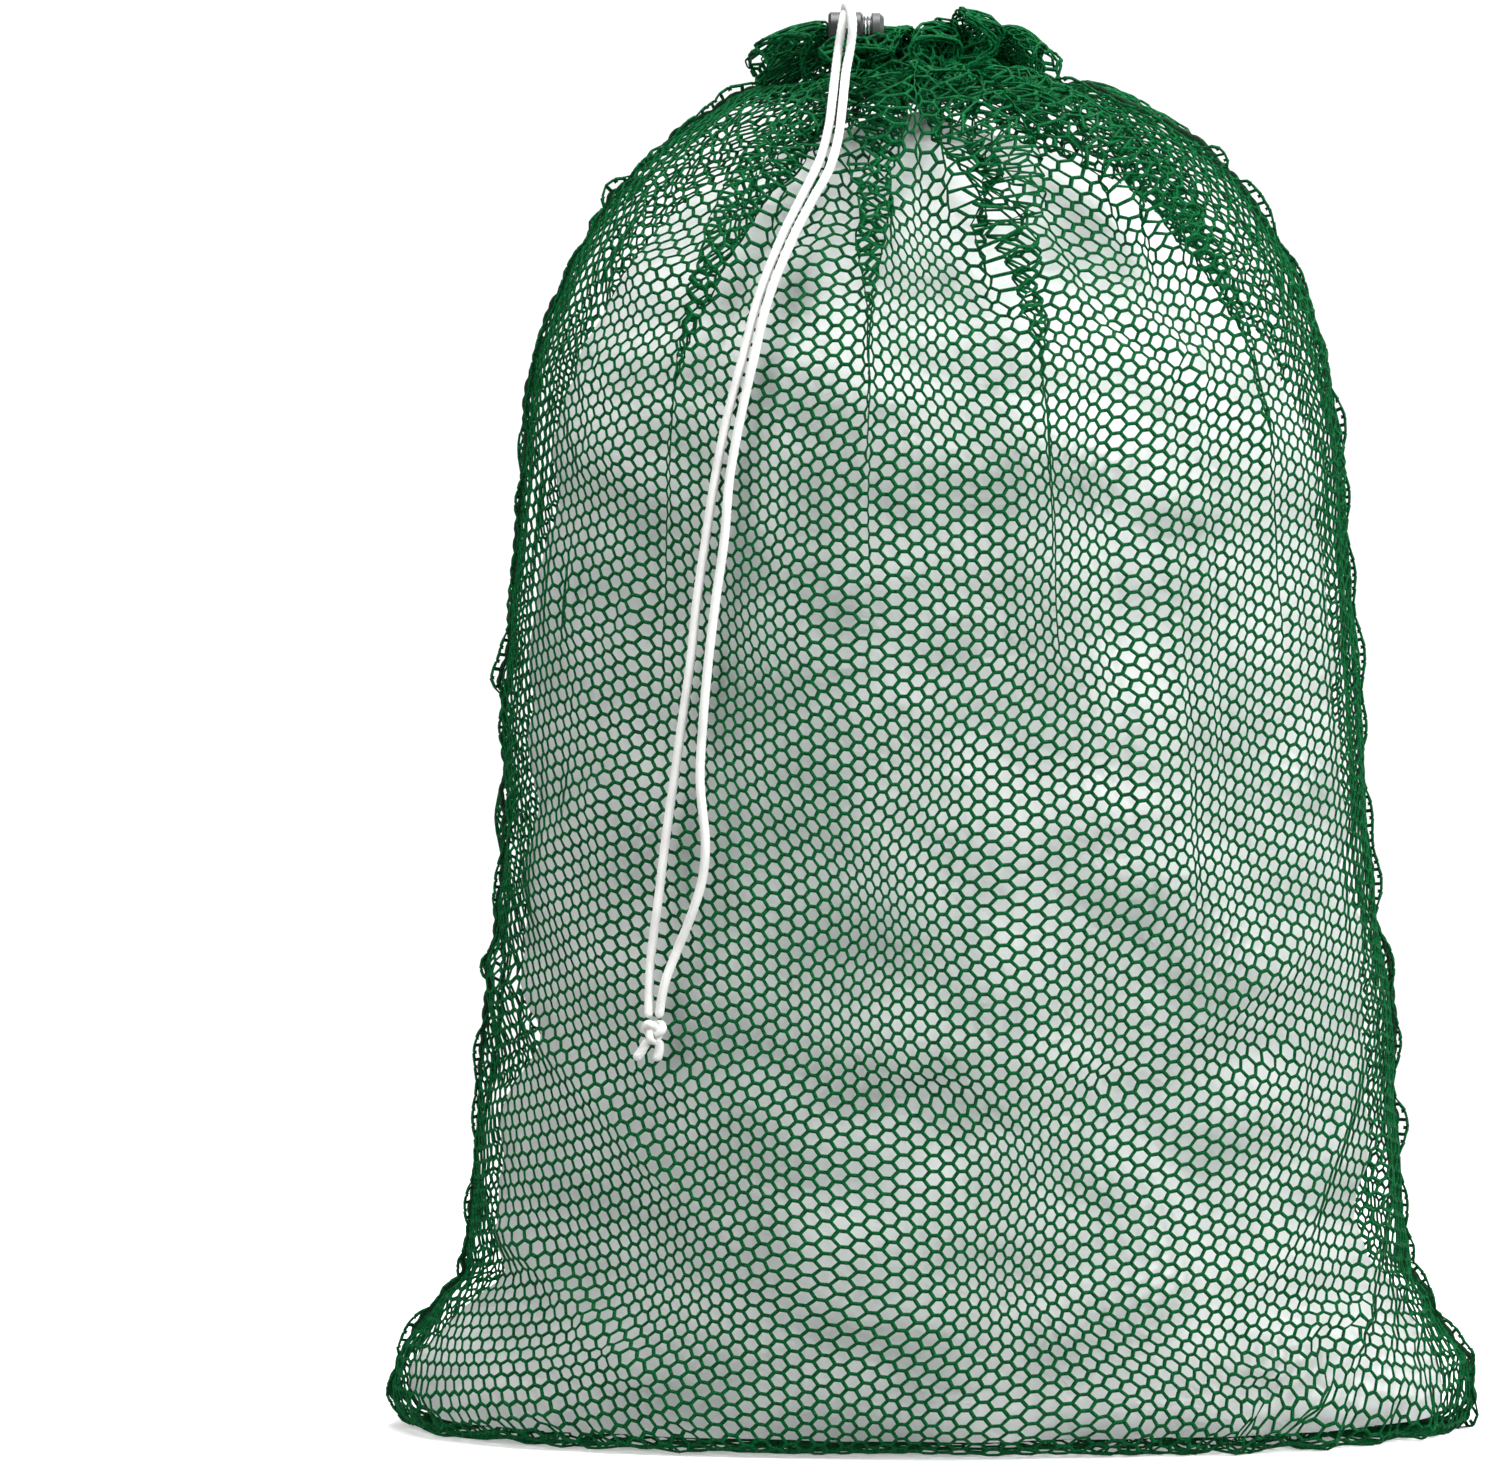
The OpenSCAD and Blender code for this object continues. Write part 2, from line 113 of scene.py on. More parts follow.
def new_material(name, values):
    """A material whose shader has these values, with its node tree and shader."""
    made = bpy.data.materials.new(name)
    made.use_nodes = True
    shader = made.node_tree.nodes["Principled BSDF"]
    for key, value in values.items():
        shader.inputs[key].default_value = value
    return made, made.node_tree, shader


def bump(tree, shader, height, distance, strength=1.0):
    """Joins a height pattern to the shader as relief of that depth in metres."""
    relief = add_node(tree, "ShaderNodeBump", {"Distance": distance, "Strength": strength},
                      {"Height": height})
    tree.links.new(relief.outputs["Normal"], shader.inputs["Normal"])


def two_tone(tree, shader, factor, dark, light, low=0.3, high=0.7):
    """Colours the shader between two tones by a pattern."""
    ramp = add_node(tree, "ShaderNodeValToRGB", links={"Fac": factor})
    ramp.color_ramp.elements[0].position = low
    ramp.color_ramp.elements[1].position = high
    ramp.color_ramp.elements[0].color = hex_colour(dark)
    ramp.color_ramp.elements[1].color = hex_colour(light)
    tree.links.new(ramp.outputs["Color"], shader.inputs["Base Color"])


def smooth_line(route, step):
    """Evenly spaced points in metres on the smooth curve through a route in millimetres."""
    p = np.array(route, float) / 1000
    ends = np.vstack([2 * p[0] - p[1], p, 2 * p[-1] - p[-2]])
    t = np.linspace(0, 1, 24, endpoint=False)[:, None]
    line = []
    for a, b, c, d in zip(ends, ends[1:], ends[2:], ends[3:]):
        bend = 2 * a - 5 * b + 4 * c - d + t * (3 * b - a - 3 * c + d)
        line.append(b + t / 2 * (c - a + t * bend))
    line = np.vstack(line + [p[-1:]])
    run = np.concatenate([[0], np.cumsum(np.linalg.norm(np.diff(line, axis=0), axis=1))])
    even = np.linspace(0, run[-1], max(3, int(round(run[-1] / step)) + 1))
    return np.stack([np.interp(even, run, line[:, k]) for k in range(3)], 1)


def braided_tube(name, line, radius, sides=20, strands=4, relief=0.00016, swell=0.0):
    """A round braid along a line, its ends rounded off. Its UV map runs round it and along it."""
    step = np.linalg.norm(line[1] - line[0])
    heading = np.gradient(line, axis=0)
    heading /= np.linalg.norm(heading, axis=1)[:, None]
    side = np.cross(heading[0], (0.3, 0.9, 0.2))
    frames = []
    for h in heading:
        side = side - h * (side @ h)
        side /= np.linalg.norm(side)
        frames.append((side, np.cross(h, side)))
    frames = np.array(frames)
    along = np.arange(len(line)) * step
    turn = 2 * math.pi * np.arange(sides) / sides
    twist = along[:, None] * 2 * math.pi * strands / (5.2 * radius)
    lift = np.maximum(np.cos(strands * turn + twist), np.cos(strands * turn - twist))
    from_end = np.minimum(np.arange(len(line)), np.arange(len(line))[::-1]) * step
    ends = np.sqrt(1 - np.clip(1 - from_end / radius, 0, 0.98) ** 2)
    puff = 1 + swell * np.clip(1 - (along[-1] - along) / 0.006, 0, 1)
    reach = (radius - relief + relief * lift) * (ends * puff)[:, None]
    points = (line[:, None] + reach[..., None] * (np.cos(turn)[:, None] * frames[:, None, 0]
              + np.sin(turn)[:, None] * frames[:, None, 1])).reshape(-1, 3)
    made = bmesh.new()
    verts = [made.verts.new(p) for p in points]
    layer = made.loops.layers.uv.new("along")
    for j in range(len(line) - 1):
        for i in range(sides):
            k = (i + 1) % sides
            face = made.faces.new([verts[q] for q in (
                j * sides + i, j * sides + k, (j + 1) * sides + k, (j + 1) * sides + i)])
            spots = ((i, j), (i + 1, j), (i + 1, j + 1), (i, j + 1))
            for loop, (a, b) in zip(face.loops, spots):
                loop[layer].uv = (a / sides, along[b] * 100)
    made.faces.new(verts[:sides][::-1])
    made.faces.new(verts[-sides:])
    return finished_mesh(name, made)


def finished_mesh(name, made, *materials):
    """A bmesh as a smooth object at the origin."""
    data = bpy.data.meshes.new(name)
    made.to_mesh(data)
    made.free()
    data.shade_smooth()
    piece = bpy.data.objects.new(name, data)
    scene.collection.objects.link(piece)
    for material in materials:
        data.materials.append(material)
    return piece


# Braided polyester: bright, dry and soft, with the ribs of its yarns catching the light
cord_white, tree, shader = new_material("braided_polyester", {
    "Roughness": 0.62, "Sheen Weight": 0.35, "Sheen Roughness": 0.4, "Specular IOR Level": 0.35})
uv = add_node(tree, "ShaderNodeUVMap", uv_map="along")
yarns = add_node(tree, "ShaderNodeTexWave", {"Scale": 9.0, "Distortion": 1.2, "Detail": 2.0},
                 {"Vector": uv.outputs["UV"]}, bands_direction="DIAGONAL")
place = add_node(tree, "ShaderNodeTexCoord")
soil = add_node(tree, "ShaderNodeTexNoise", {"Scale": 60.0, "Detail": 3.0},
                {"Vector": place.outputs["Object"]})
two_tone(tree, shader, soil.outputs["Fac"], "#DADBD8", "#F2F2EF")
bump(tree, shader, yarns.outputs["Fac"], 0.00012)

left_strand = braided_tube("drawcord_left_strand", smooth_line(left_route, 0.0009),
                           cord_diameter / 2)
right_strand = braided_tube("drawcord_right_strand", smooth_line(right_route, 0.0009),
                            cord_diameter / 2)
left_tail = braided_tube("drawcord_left_tail", smooth_line(left_tail_route, 0.0006),
                         cord_diameter / 2, swell=0.12)
right_tail = braided_tube("drawcord_right_tail", smooth_line(right_tail_route, 0.0006),
                          cord_diameter / 2, swell=0.12)

# The overhand knot, pulled tight: one turn over, one through
knot_turn = np.linspace(0, 2 * math.pi, 60)
knot_route = [(knot_centre[0] + 1.55 * (math.sin(t) + 2 * math.sin(2 * t)),
               knot_centre[1] - 2.3 * math.sin(3 * t),
               knot_centre[2] + 1.6 * (math.cos(t) - 2 * math.cos(2 * t))) for t in knot_turn]
knot = braided_tube("drawcord_knot", smooth_line(knot_route, 0.0007), 0.0020)

for piece, node in ((left_strand, "drawstring_left_strand"),
                    (right_strand, "drawstring_right_strand"),
                    (left_tail, "drawstring_left_tail"), (right_tail, "drawstring_right_tail"),
                    (knot, "drawstring_knot")):
    piece.data.materials.append(cord_white)
    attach(piece, "bag")
    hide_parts(node)
loop_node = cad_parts["drawstring_loop"]
for k in range(len(loop_node.material_slots)):
    loop_node.material_slots[k].material = cord_white

smooth_line(left_route, 0.004)
smooth_line(right_route, 0.004)


# ---------------------------------------------------------------- cord lock
# A sprung barrel lock: a moulded nylon barrel, a button whose stem runs through it, and a
# steel coil spring that pushes the button out. The two strands pass through the hole in both.
# Moulded nylon: near black, dull, with a fine grain from the mould
lock_black, tree, shader = new_material("moulded_black_nylon", {
    "Roughness": 0.38, "IOR": 1.53, "Coat Weight": 0.08, "Coat Roughness": 0.3})
place = add_node(tree, "ShaderNodeTexCoord")
grain = add_node(tree, "ShaderNodeTexNoise", {"Scale": 2600.0, "Detail": 2.0},
                 {"Vector": place.outputs["Object"]})
two_tone(tree, shader, grain.outputs["Fac"], "#101213", "#1D2021")
bump(tree, shader, grain.outputs["Fac"], 0.00004)

# The same nylon in a dark grey, a little duller
button_grey, tree, shader = new_material("moulded_grey_nylon", {"Roughness": 0.44, "IOR": 1.53})
place = add_node(tree, "ShaderNodeTexCoord")
grain = add_node(tree, "ShaderNodeTexNoise", {"Scale": 2200.0, "Detail": 2.0},
                 {"Vector": place.outputs["Object"]})
two_tone(tree, shader, grain.outputs["Fac"], "#2C302F", "#3D4240")
bump(tree, shader, grain.outputs["Fac"], 0.00005)

# Bright drawn wire, faintly uneven in tone
spring_steel, tree, shader = new_material("drawn_spring_steel", {"Metallic": 1.0, "Roughness": 0.28})
place = add_node(tree, "ShaderNodeTexCoord")
drawn = add_node(tree, "ShaderNodeTexNoise", {"Scale": 1800.0, "Detail": 1.0},
                 {"Vector": place.outputs["Object"]})
two_tone(tree, shader, drawn.outputs["Fac"], "#9A9DA0", "#C9CCCE")

for node, material in (("lock_barrel", lock_black), ("lock_button", button_grey),
                       ("lock_spring", spring_steel)):
    for place_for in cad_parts[node].material_slots:
        place_for.material = material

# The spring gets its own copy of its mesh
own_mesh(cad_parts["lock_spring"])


# ---------------------------------------------------------------- laundry
# Folded white cotton, stuffed in bundle upon bundle. It holds the net out, and its soft
# creases and hollows show through the mesh.
wall = 0.003
panel_points = np.array([v.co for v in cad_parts["front_panel"].data.vertices])
levels = [z for z in np.unique(panel_points[:, 2].round(4)) if abs(z - wall) > 0.0002]
rings = [panel_points[abs(panel_points[:, 2] - z) < 0.0001] for z in levels]
level_half_x = [ring[:, 0].max() for ring in rings]
level_half_y = [-ring[:, 1].min() for ring in rings]
bag_top = levels[-1]
load_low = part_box("laundry_base")[0].z
load_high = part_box("laundry_crown")[1].z


def half_x(z):
    """Half the filled bag's width at one height."""
    return np.interp(z, levels, level_half_x)


def half_y(z):
    """Half the filled bag's depth at one height."""
    return np.interp(z, levels, level_half_y)


# Where the front sinks in between lumps: across, up, depth, and reach each way, in metres
front_hollows = [(0.085, 0.565, 0.022, 0.045, 0.030), (0.065, 0.225, 0.018, 0.035, 0.045),
                 (0.000, 0.155, 0.015, 0.050, 0.026), (-0.070, 0.330, 0.010, 0.050, 0.060),
                 (0.120, 0.400, 0.014, 0.035, 0.060), (0.020, 0.420, 0.008, 0.040, 0.080),
                 (0.150, 0.120, 0.014, 0.022, 0.050)]
# Where the sides are pinched in: side, up, depth and reach up and down
side_pinches = [(-1, 0.192, 0.012, 0.016), (-1, 0.078, 0.010, 0.012), (-1, 0.300, 0.007, 0.020),
                (1, 0.105, 0.007, 0.018), (-1, 0.460, 0.006, 0.018)]


def load_inset(x, y, z):
    """How far the load's surface stands in from the filled bag's outline."""
    lump = noise.noise(Vector((x, y, z)) * 9) + 0.5 * noise.noise(Vector((x, y, z)) * 19)
    inset = 0.0065 + 0.007 * lump
    across = x / half_x(z)
    inset += 0.020 * max(0.0, (z - 0.52) / 0.15) ** 1.3
    if y < 0:
        for hx, hz, depth, wide, high in front_hollows:
            inset += depth * math.exp(-((x - hx) / wide) ** 2 - ((z - hz) / high) ** 2)
    inset *= 1 - 0.75 * abs(across) ** 5
    for side, hz, depth, high in side_pinches:
        inset += depth * max(0.0, side * across) ** 6 * math.exp(-((z - hz) / high) ** 2)
    return inset


def shift_right(z):
    """How far the load sits off to the right, in metres, at one height."""
    return 0.003 + 0.005 * math.exp(-((z - 0.21) / 0.05) ** 2)


def load_ring(z, around):
    """Points round the load at one height, from the left by way of the front."""
    points = []
    for k in range(around):
        turn = 2 * math.pi * k / around
        x, y = -half_x(z) * math.cos(turn), -half_y(z) * math.sin(turn)
        shrink = 1 - load_inset(x, y, z) / math.hypot(x, y)
        points.append((x * shrink + shift_right(z), y * shrink, z))
    return points


crease_depth = 0.006
shoulder_slack = 0.034


def bundle_ring(z, around, rounding):
    """Points round one bundle: the load's surface, slacker at the shoulders, with creases."""
    points = []
    for k in range(around):
        turn = 2 * math.pi * k / around
        x, y = -half_x(z) * math.cos(turn), -half_y(z) * math.sin(turn)
        wave = noise.noise(Vector((x * 6, y * 6, 3)))
        lift = 0.010 * wave * max(0.0, min(1.0, z / 0.1, (0.62 - z) / 0.1))
        fold = noise.noise(Vector((x * 13, y * 13, z * 22 + 4)))
        wrinkle = noise.noise(Vector((x * 40 + 7, y * 40, z * 55)))
        inset = load_inset(x, y, z) + rounding + 0.0025
        inset += crease_depth * (1 - 2.2 * abs(fold)) + 0.3 * crease_depth * wrinkle
        slack = 0.05 + 0.95 * abs(x / half_x(z)) + 0.7 * max(0.0, x / half_x(z))
        inset += shoulder_slack * max(0.0, (z - 0.46) / 0.2) ** 1.5 * slack
        inset = min(inset, 0.97 * math.hypot(x, y))
        shrink = 1 - inset / math.hypot(x, y)
        points.append((x * shrink + shift_right(z), y * shrink, z + lift))
    return points


def lofted(points_by_ring):
    """A closed bmesh through rings of points, from the bottom ring to the top one."""
    made = bmesh.new()
    loops = []
    for ring in points_by_ring:
        verts = [made.verts.new(p) for p in ring]
        loops.append([made.edges.new((a, b)) for a, b in zip(verts, verts[1:] + verts[:1])])
    for low, high in zip(loops, loops[1:]):
        bmesh.ops.bridge_loops(made, edges=low + high)
    for loop in (loops[0], loops[-1]):
        bmesh.ops.edgeloop_fill(made, edges=loop)
        for edge in loop:
            edge.smooth = False
    bmesh.ops.recalc_face_normals(made, faces=made.faces)
    return made


# Cotton sheeting: matt and off-white, with soft random patches of painted grey-green shade and painted
# green reflection of the net
white_cotton, tree, shader = new_material("white_cotton", {
    "Roughness": 0.9, "Sheen Weight": 0.3, "Sheen Roughness": 0.6, "Specular IOR Level": 0.2})
place = add_node(tree, "ShaderNodeTexCoord")
shade_and_reflection_patches = add_node(tree, "ShaderNodeTexNoise", {"Scale": 11.0, "Detail": 4.0, "Roughness": 0.55},
                   {"Vector": place.outputs["Object"]})
# The darker grey-green tone is painted shade and painted green reflection of the net, laid on in random
# patches
two_tone(tree, shader, shade_and_reflection_patches.outputs["Fac"], "#D3DBD7", "#F7FAF8")
creases = add_node(tree, "ShaderNodeTexNoise", {"Scale": 55.0, "Detail": 5.0, "Distortion": 0.8},
                   {"Vector": place.outputs["Object"]})
bump(tree, shader, creases.outputs["Fac"], 0.0022)

crown_sink = -0.008
bundles = ("base", "lower", "middle", "upper", "shoulder", "crown")
edges = [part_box("laundry_" + node)[0].z for node in bundles]
edges.append(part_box("laundry_crown")[1].z - crown_sink)
for node, low, high in zip(bundles, edges, edges[1:]):
    heights = [(z, 0.0) for z in np.linspace(low, high, max(4, int((high - low) / 0.006)))]
    if node == "crown":
        heights = [(low + (high - low) * math.sin(a), 0.12 * (1 - math.cos(a)))
                   for a in np.linspace(0, math.pi / 2, 14)]
    made = lofted([bundle_ring(z, 150, extra) for z, extra in heights])
    bundle = finished_mesh("laundry_bundle_" + node, made, white_cotton)
    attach(bundle, "bag")
    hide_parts("laundry_" + node)


# ---------------------------------------------------------------- the net, draped
# Two flat panels of knitted polyester net, sewn at the sides and the bottom and gathered at
# the neck. The flat bag is drawn over the load, held at the neck and along the bottom seam, and
# left to settle under its own weight.
flat_width, flat_length = 0.610, 0.914
casing_line = 0.866
across_steps, up_steps = 60, 90
ring_steps = 2 * across_steps
fold_count = 11
neck_radius = 0.026
rows_up = np.linspace(0, flat_length, up_steps + 1)

# How far round the filled bag each column of the flat one comes, by length along the outline
turns = np.linspace(0, math.pi, 721)
run = np.hypot(np.gradient(-half_x(0.34) * np.cos(turns)), np.gradient(-half_y(0.34) * np.sin(turns)))
run = np.concatenate([[0], np.cumsum(run[1:])])
half_turn = np.interp(np.linspace(0, 1, across_steps + 1), run / run[-1], turns)
column_turn = np.concatenate([half_turn[:-1], math.pi + half_turn[:-1]])

# From the bottom seam out to the edge of the floor, up the side, and in to the neck
climb = np.concatenate([np.linspace(0, 0.02, 8)[:-1], np.linspace(0.02, 0.48, 60)[:-1],
                        0.48 + (bag_top - 0.48) * np.sin(np.linspace(0, math.pi / 2, 60))])
start = np.zeros((up_steps + 1, ring_steps, 3))
for i, turn in enumerate(column_turn):
    out = np.stack([-half_x(climb) * math.cos(turn), -half_y(climb) * math.sin(turn), climb], 1)
    out = np.vstack([[out[0, 0], 0, 0], out])
    way = np.concatenate([[0], np.cumsum(np.linalg.norm(np.diff(out, axis=0), axis=1))])
    share = np.clip(rows_up / casing_line, 0, 1) * way[-1]
    for k in range(3):
        start[:, i, k] = np.interp(share, way, out[:, k])

# Most of the spare width above the shoulders lies in flat pleats: where each one is along the
# flat bag, its share of the spare width, which way it lies and how far it stands up, in metres
pleats = [(0.150, 0.17, -1, 0.012), (0.265, 0.10, -1, 0.018), (0.365, 0.14, 1, 0.018),
          (0.500, 0.17, 1, 0.012), (0.715, 0.11, -1, 0.009), (0.830, 0.10, 1, 0.009),
          (0.950, 0.10, -1, 0.010), (1.080, 0.11, 1, 0.009)]
girths = np.linalg.norm(np.roll(start, -1, 1) - start, axis=2).sum(1)
taken = np.maximum(0, 2 * flat_width - 1.06 * girths)
near_neck = np.clip((rows_up - casing_line + 0.075) / 0.075, 0, 1)
taken *= 0.9 - 0.5 * near_neck ** 2 * (3 - 2 * near_neck)
at_frill = rows_up > casing_line
past_casing = (rows_up[at_frill] - casing_line) / (flat_length - casing_line)
taken[at_frill] = taken[~at_frill][-1] * (1 - past_casing)
taken = np.convolve(np.pad(taken, 2, mode="edge"), np.ones(5) / 5, mode="valid")
left_over = 1 - taken / (2 * flat_width)

# Folds that take up the rest as the bag narrows to the neck
ring_share = np.arange(ring_steps) / ring_steps
fold_phase = (fold_count * 2 * math.pi * ring_share + 1.1 * np.sin(6 * math.pi * ring_share + 0.6)
              + 0.7 * np.sin(10 * math.pi * ring_share + 2.1))
for j, up in enumerate(rows_up):
    ring = start[j]
    if up <= casing_line:
        girth = np.linalg.norm(np.roll(ring, -1, 0) - ring, axis=1).sum()
        spare = max(1.0, 2 * flat_width * left_over[j] / girth)
        radius = np.linalg.norm(ring[:, :2], axis=1)
        depth = girth / fold_count / 4.44 * math.sqrt(spare ** 2 - 1) if up > 0.3 else 0
        depth = np.minimum(min(depth, 0.030), (radius - 0.007) / 1.6)
        ring[:, :2] *= (1 + (np.cos(fold_phase) - 1) * depth * 0.8 / radius)[:, None]
        ripple = [noise.noise(Vector((x * 9, y * 9, up * 34))) for x, y, z in ring]
        at_side = abs(np.cos(column_turn)) ** 1.5 * min(1, up / 0.05) * (up < 0.8)
        ring[:, :2] *= (1 + 0.008 * at_side * (0.6 + np.array(ripple)) / radius)[:, None]

# The frill flares out from the neck in flutes, and droops at its outer edge
frill_low, frill_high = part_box("neck_frill")
casing_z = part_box("drawstring_loop")[0].z + cord_diameter / 2
frill_middle = (-0.010, 0.0)
flute = fold_phase + 0.8 * np.sin(7 * 2 * math.pi * ring_share)
for j in np.nonzero(rows_up > casing_line)[0]:
    f = (rows_up[j] - casing_line) / (flat_length - casing_line)
    turn = column_turn + 0.16 * np.sin(2 * fold_phase)
    inner = 0.023 + 0.006 * np.cos(fold_phase)
    edge_x = (frill_high.x - frill_low.x) / 2 * (1 + 0.10 * np.cos(flute + 1))
    edge_y = (frill_high.y - frill_low.y) / 2 * (1 + 0.10 * np.cos(flute + 1))
    start[j, :, 0] = -np.cos(turn) * (inner + (edge_x - inner) * f) + frill_middle[0] * f
    start[j, :, 1] = -np.sin(turn) * (inner + (edge_y - inner) * f) + frill_middle[1] * f
    uneven = np.array([noise.noise(Vector((3 * math.cos(a), 3 * math.sin(a), 1))) for a in column_turn])
    start[j, :, 2] = (casing_z + 0.012 * math.sin(math.pi * min(1, 0.75 * f + 0.1)) - 0.010 * f ** 2
                      + 0.011 * f ** 0.7 * np.cos(flute) + 0.012 * f * uneven)

# The flat bag as cloth: two grids joined along both sides and the bottom
made = bmesh.new()
for face_y in (-1, 1):
    grid = bmesh.ops.create_grid(made, x_segments=across_steps, y_segments=up_steps, size=0.5)
    for vert in grid["verts"]:
        u, v = vert.co.x + 0.5, vert.co.y + 0.5
        inside = 0 < round(u * across_steps) < across_steps and v > 0.001
        vert.co = ((u - 0.5) * flat_width, 0.004 * face_y * inside, v * flat_length)
bmesh.ops.remove_doubles(made, verts=made.verts, dist=0.0005)
bmesh.ops.recalc_face_normals(made, faces=made.faces)
cloth = finished_mesh("cloth", made)
flat = np.array([v.co for v in cloth.data.vertices])
column = np.round((flat[:, 0] / flat_width + 0.5) * across_steps).astype(int)
column = np.where(flat[:, 1] > 0, (ring_steps - column) % ring_steps, column)
row = np.round(flat[:, 2] / flat_length * up_steps).astype(int)
cloth.shape_key_add(name="filled")
cloth.shape_key_add(name="flat")
for index, width_left in enumerate(left_over[row]):
    cloth.data.shape_keys.key_blocks["flat"].data[index].co.x *= width_left
for index, spot in enumerate(start[row, column]):
    cloth.data.shape_keys.key_blocks["filled"].data[index].co = spot
    cloth.data.vertices[index].co = spot
held = cloth.vertex_groups.new(name="held")
at_neck = rows_up[row] >= casing_line - 0.006
at_bottom = (row == 0) & (abs(column - across_steps / 2) < across_steps / 2 - 5)
held.add(np.nonzero(at_neck | at_bottom)[0].tolist(), 1.0, "REPLACE")


def collider(piece, thickness, friction):
    """Lets the cloth come to rest on a piece."""
    piece.modifiers.new("collision", "COLLISION")
    piece.collision.thickness_outer = thickness
    piece.collision.cloth_friction = friction
    piece.collision.damping = 0.3


heights = np.concatenate([np.linspace(load_low, 0.02, 4), np.linspace(0.03, 0.48, 42),
                          0.48 + (load_high - 0.48) * np.sin(np.linspace(0.07, math.pi / 2, 22))])
load = finished_mesh("load", lofted([load_ring(z, 96) for z in heights]))
collider(load, 0.003, 2)
bpy.ops.mesh.primitive_plane_add(size=3, location=(0, 0, -0.0005))
ground = bpy.context.object
collider(ground, 0.001, 15)

settle = cloth.modifiers.new("settle", "CLOTH")
settle.settings.rest_shape_key = cloth.data.shape_keys.key_blocks["flat"]
settle.settings.vertex_group_mass = "held"
for key, value in {
        "quality": 6, "mass": 0.15, "air_damping": 2.0, "tension_stiffness": 25,
        "compression_stiffness": 22, "shear_stiffness": 2.0, "bending_stiffness": 0.12,
        "tension_damping": 8, "compression_damping": 8, "shear_damping": 4,
        "bending_damping": 0.5}.items():
    setattr(settle.settings, key, value)
settle.collision_settings.distance_min = 0.003
settle.collision_settings.collision_quality = 3
settle_frames = 26
settle.point_cache.frame_end = settle_frames
draped = start.copy()
for step in range(1, settle_frames + 1):
    scene.frame_set(step)
settled = cloth.evaluated_get(bpy.context.evaluated_depsgraph_get()).data
draped[row, column] = np.array([v.co for v in settled.vertices])
scene.frame_set(1)
draped[0, across_steps + 1:] = draped[0, across_steps - 1:0:-1]
for helper in (cloth, load, ground):
    bpy.data.objects.remove(helper)


def cubic(t):
    """The four weights of a Catmull-Rom curve at share t of its step, and their slopes."""
    at = np.stack([-t + 2 * t ** 2 - t ** 3, 2 - 5 * t ** 2 + 3 * t ** 3,
                   t + 4 * t ** 2 - 3 * t ** 3, t ** 3 - t ** 2]) / 2
    slope = np.stack([-1 + 4 * t - 3 * t ** 2, -10 * t + 9 * t ** 2,
                      1 + 8 * t - 9 * t ** 2, 3 * t ** 2 - 2 * t]) / 2
    return at, slope


def smooth_bag(share, v):
    """Place and outward normal at a share of the way round the draped bag, at height v along it."""
    a, b = share * ring_steps, np.clip(v / flat_length, 0, 1) * up_steps
    i, j = np.floor(a).astype(int), np.minimum(np.floor(b).astype(int), up_steps - 1)
    (wu, du), (wv, dv) = cubic(a - i), cubic(b - j)
    place, along_u, along_v = (np.zeros((len(v), 3)) for _ in range(3))
    for p in range(4):
        for q in range(4):
            spot = draped[np.clip(j + q - 1, 0, up_steps), (i + p - 1) % ring_steps]
            place += (wu[p] * wv[q])[:, None] * spot
            along_u += (du[p] * wv[q])[:, None] * spot
            along_v += (wu[p] * dv[q])[:, None] * spot
    out = np.cross(along_u, along_v)
    return place, out / (np.linalg.norm(out, axis=1)[:, None] + 1e-12)


# One pleat: over, back underneath and over again, in three layers
layer = np.linspace(0, 1, 241)


def eased(x):
    """A smooth step from 0 to 1."""
    x = np.clip(x, 0, 1)
    return x * x * (3 - 2 * x)


onward = 1 - 2 * eased((layer - 0.26) / 0.14) * (1 - eased((layer - 0.60) / 0.14))
onward = np.concatenate([[0], np.cumsum(onward[1:] + onward[:-1])])
onward /= onward[-1]


# Soft ridges where the net is drawn slantwise: both ends on the flat bag, height and width;
# the first is the hollow under the front of the neck
ridges = [(0.262, 0.838, 0.345, 0.838, -0.016, 0.016), (0.250, 0.800, 0.360, 0.800, 0.006, 0.008),
          (0.545, 0.290, 0.400, 0.180, 0.006, 0.010), (0.560, 0.250, 0.480, 0.130, 0.007, 0.009),
          (0.520, 0.360, 0.380, 0.330, 0.004, 0.009), (0.040, 0.290, 0.200, 0.220, 0.006, 0.009),
          (0.030, 0.180, 0.200, 0.130, 0.007, 0.010), (0.060, 0.330, 0.160, 0.450, 0.004, 0.012),
          (0.330, 0.790, 0.420, 0.640, 0.006, 0.012), (0.420, 0.660, 0.520, 0.560, 0.005, 0.012),
          (0.280, 0.480, 0.440, 0.430, 0.004, 0.012), (0.300, 0.300, 0.180, 0.190, 0.004, 0.010)]


